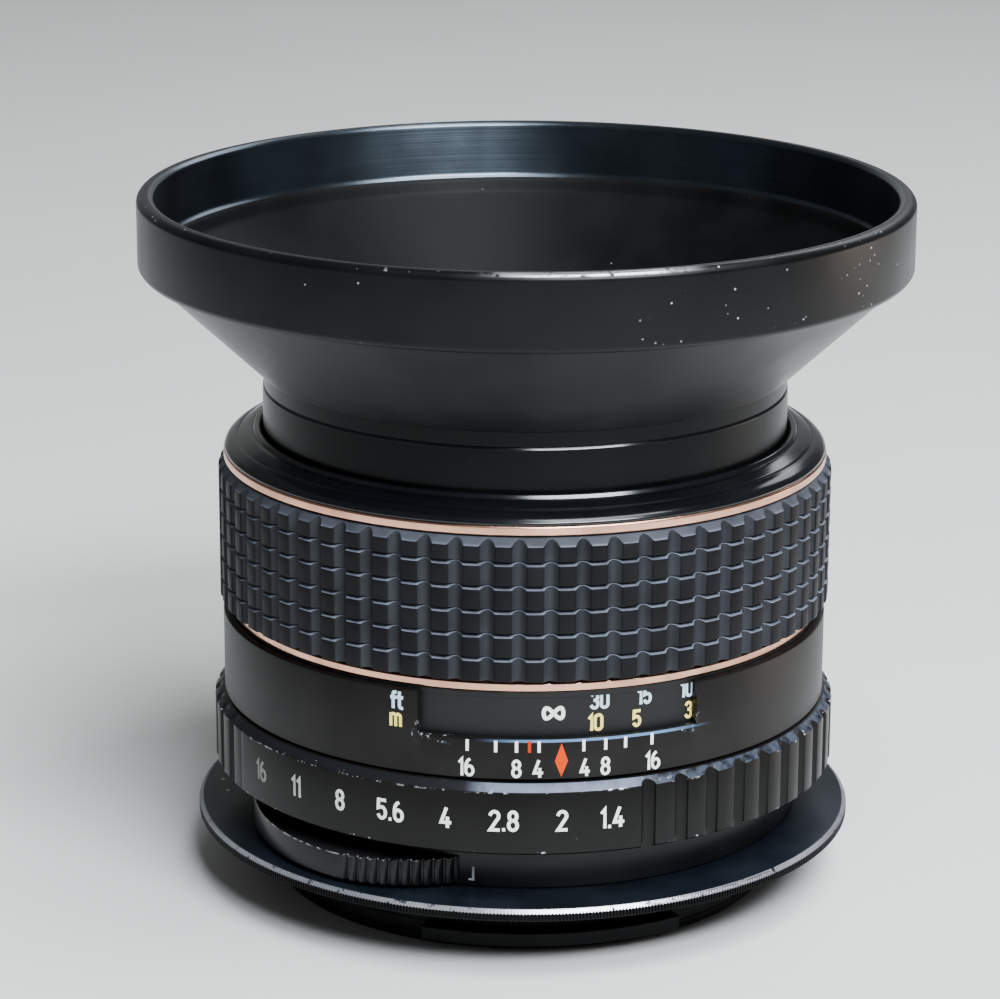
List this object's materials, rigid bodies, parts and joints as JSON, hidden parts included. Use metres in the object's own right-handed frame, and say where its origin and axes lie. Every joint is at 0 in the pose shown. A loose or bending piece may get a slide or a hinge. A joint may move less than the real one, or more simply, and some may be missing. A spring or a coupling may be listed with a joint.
{
  "type": "prime camera lens",
  "caption": "Fast standard prime lens for a 42 mm screw mount, with a rubber focus grip, a distance window, an aperture ring, a flared metal hood and a bayonet adapter.",
  "frame": {"origin": "on the optical axis at the bottom of the bayonet adapter, on the surface that the lens stands on", "axes": "+Z along the optical axis towards the hood; -Y towards the focus and aperture index mark; +X to the right of the index mark seen from -Y"},
  "size_m": [0.076, 0.076, 0.0694],
  "materials": {
    "black_enamel": "semi-gloss black enamel on aluminium, worn bright on the rim's edge",
    "black_satin": "satin black anodised aluminium with filled engraving",
    "adapter_black": "thin blue-black coating, worn bright on the milled edge",
    "rubber": "moulded charcoal rubber, dry and slightly dusty",
    "chrome": "turned and polished bright bands",
    "aluminium": "turned aluminium",
    "brass": "turned brass",
    "steel": "bright steel",
    "matte_black": "matte black anti-reflection paint",
    "glass": "coated optical glass"
  },
  "bodies": {
    "fixed_body": {"helicoid_barrel": "aluminium", "depth_of_field_ring": "black_satin", "body_set_screw_1": "steel", "body_set_screw_2": "steel", "body_set_screw_3": "steel", "mount_plate": "black_satin", "mount_screw_1": "steel", "mount_screw_2": "steel", "mount_screw_3": "steel", "helicoid_key_1": "brass", "helicoid_key_2": "brass", "detent_ball": "steel", "detent_spring": "steel", "stop_down_spring": "steel", "mount_adapter": "adapter_black"},
    "front_barrel": {"lens_carrier": "brass", "filter_ring": "black_enamel", "hood": "black_enamel", "front_retaining_ring": "black_satin", "front_cell": "aluminium", "front_spacer": "matte_black", "lens_element_1": "glass", "lens_element_2": "glass", "lens_element_3": "glass", "lens_element_4": "glass", "lens_element_5": "glass", "lens_element_6": "glass", "lens_element_7": "glass", "iris_housing": "matte_black", "rear_cell": "black_satin", "doublet_spacer": "matte_black", "rear_spacer": "matte_black", "rear_retaining_ring": "black_satin"},
    "focus_ring": {"focus_helicoid": "brass", "grip_sleeve": "chrome", "rubber_grip": "rubber", "focus_ring_shoulder": "black_enamel", "distance_scale_ring": "black_satin"},
    "aperture_ring": {"aperture_ring": "black_satin"},
    "iris_drive": {"iris_drive_ring": "brass"},
    "iris_cam": {"iris_cam_ring": "brass"},
    "blade_1": {"iris_blade_1": "steel"},
    "blade_2": {"iris_blade_2": "steel"},
    "blade_3": {"iris_blade_3": "steel"},
    "blade_4": {"iris_blade_4": "steel"},
    "blade_5": {"iris_blade_5": "steel"},
    "blade_6": {"iris_blade_6": "steel"},
    "blade_7": {"iris_blade_7": "steel"},
    "blade_8": {"iris_blade_8": "steel"},
    "mode_lever": {"mode_lever": "black_satin"},
    "stop_down_pin": {"stop_down_pin": "steel"}
  },
  "joints": [
    {"name": "focus_turn", "type": "hinge", "parent": "fixed_body", "child": "focus_ring", "pos_m": [0, 0, 0.036], "axis": [0, 0, -1], "range_deg": [0, 226]},
    {"name": "barrel_slide", "type": "slide", "parent": "fixed_body", "child": "front_barrel", "axis": [0, 0, 1], "range_m": [0, 0.0073]},
    {"name": "aperture_turn", "type": "hinge", "parent": "fixed_body", "child": "aperture_ring", "pos_m": [0, 0, 0.0155], "axis": [0, 0, 1], "range_deg": [-8.8, 61.4]},
    {"name": "iris_drive_turn", "type": "hinge", "parent": "fixed_body", "child": "iris_drive", "pos_m": [0, 0, 0.0096], "axis": [0, 0, 1], "range_deg": [-3.2, 21.6]},
    {"name": "iris_cam_turn", "type": "hinge", "parent": "front_barrel", "child": "iris_cam", "pos_m": [0, 0, 0.0248], "axis": [0, 0, 1], "range_deg": [-3.2, 21.6]},
    {"name": "mode_lever_turn", "type": "hinge", "parent": "fixed_body", "child": "mode_lever", "pos_m": [0, 0, 0.009], "axis": [0, 0, 1], "range_deg": [0, 9]},
    {"name": "stop_down_press", "type": "slide", "parent": "fixed_body", "child": "stop_down_pin", "axis": [0, 0, 1], "range_m": [0, 0.0015], "stiffness_N_per_m": 600, "springref_m": -0.001, "deforming": ["stop_down_spring"]},
    {"name": "blade_1_turn", "type": "hinge", "parent": "front_barrel", "child": "blade_1", "pos_m": [0, -0.0185, 0.0265], "axis": [0, 0, 1], "range_deg": [-4.6, 32]},
    {"name": "blade_2_turn", "type": "hinge", "parent": "front_barrel", "child": "blade_2", "pos_m": [0.01308, -0.01308, 0.0265], "axis": [0, 0, 1], "range_deg": [-4.6, 32]},
    {"name": "blade_3_turn", "type": "hinge", "parent": "front_barrel", "child": "blade_3", "pos_m": [0.0185, 0, 0.0265], "axis": [0, 0, 1], "range_deg": [-4.6, 32]},
    {"name": "blade_4_turn", "type": "hinge", "parent": "front_barrel", "child": "blade_4", "pos_m": [0.01308, 0.01308, 0.0265], "axis": [0, 0, 1], "range_deg": [-4.6, 32]},
    {"name": "blade_5_turn", "type": "hinge", "parent": "front_barrel", "child": "blade_5", "pos_m": [0, 0.0185, 0.0265], "axis": [0, 0, 1], "range_deg": [-4.6, 32]},
    {"name": "blade_6_turn", "type": "hinge", "parent": "front_barrel", "child": "blade_6", "pos_m": [-0.01308, 0.01308, 0.0265], "axis": [0, 0, 1], "range_deg": [-4.6, 32]},
    {"name": "blade_7_turn", "type": "hinge", "parent": "front_barrel", "child": "blade_7", "pos_m": [-0.0185, 0, 0.0265], "axis": [0, 0, 1], "range_deg": [-4.6, 32]},
    {"name": "blade_8_turn", "type": "hinge", "parent": "front_barrel", "child": "blade_8", "pos_m": [-0.01308, -0.01308, 0.0265], "axis": [0, 0, 1], "range_deg": [-4.6, 32]}
  ],
  "couplings": [
    {"joint": "barrel_slide", "follows": "focus_turn", "m_per_rad": 0.00185},
    {"joint": "iris_drive_turn", "follows": "aperture_turn", "ratio": 0.35},
    {"joint": "iris_cam_turn", "follows": "aperture_turn", "ratio": 0.35},
    {"joint": "blade_1_turn", "follows": "aperture_turn", "ratio": 0.52},
    {"joint": "blade_2_turn", "follows": "aperture_turn", "ratio": 0.52},
    {"joint": "blade_3_turn", "follows": "aperture_turn", "ratio": 0.52},
    {"joint": "blade_4_turn", "follows": "aperture_turn", "ratio": 0.52},
    {"joint": "blade_5_turn", "follows": "aperture_turn", "ratio": 0.52},
    {"joint": "blade_6_turn", "follows": "aperture_turn", "ratio": 0.52},
    {"joint": "blade_7_turn", "follows": "aperture_turn", "ratio": 0.52},
    {"joint": "blade_8_turn", "follows": "aperture_turn", "ratio": 0.52}
  ]
}
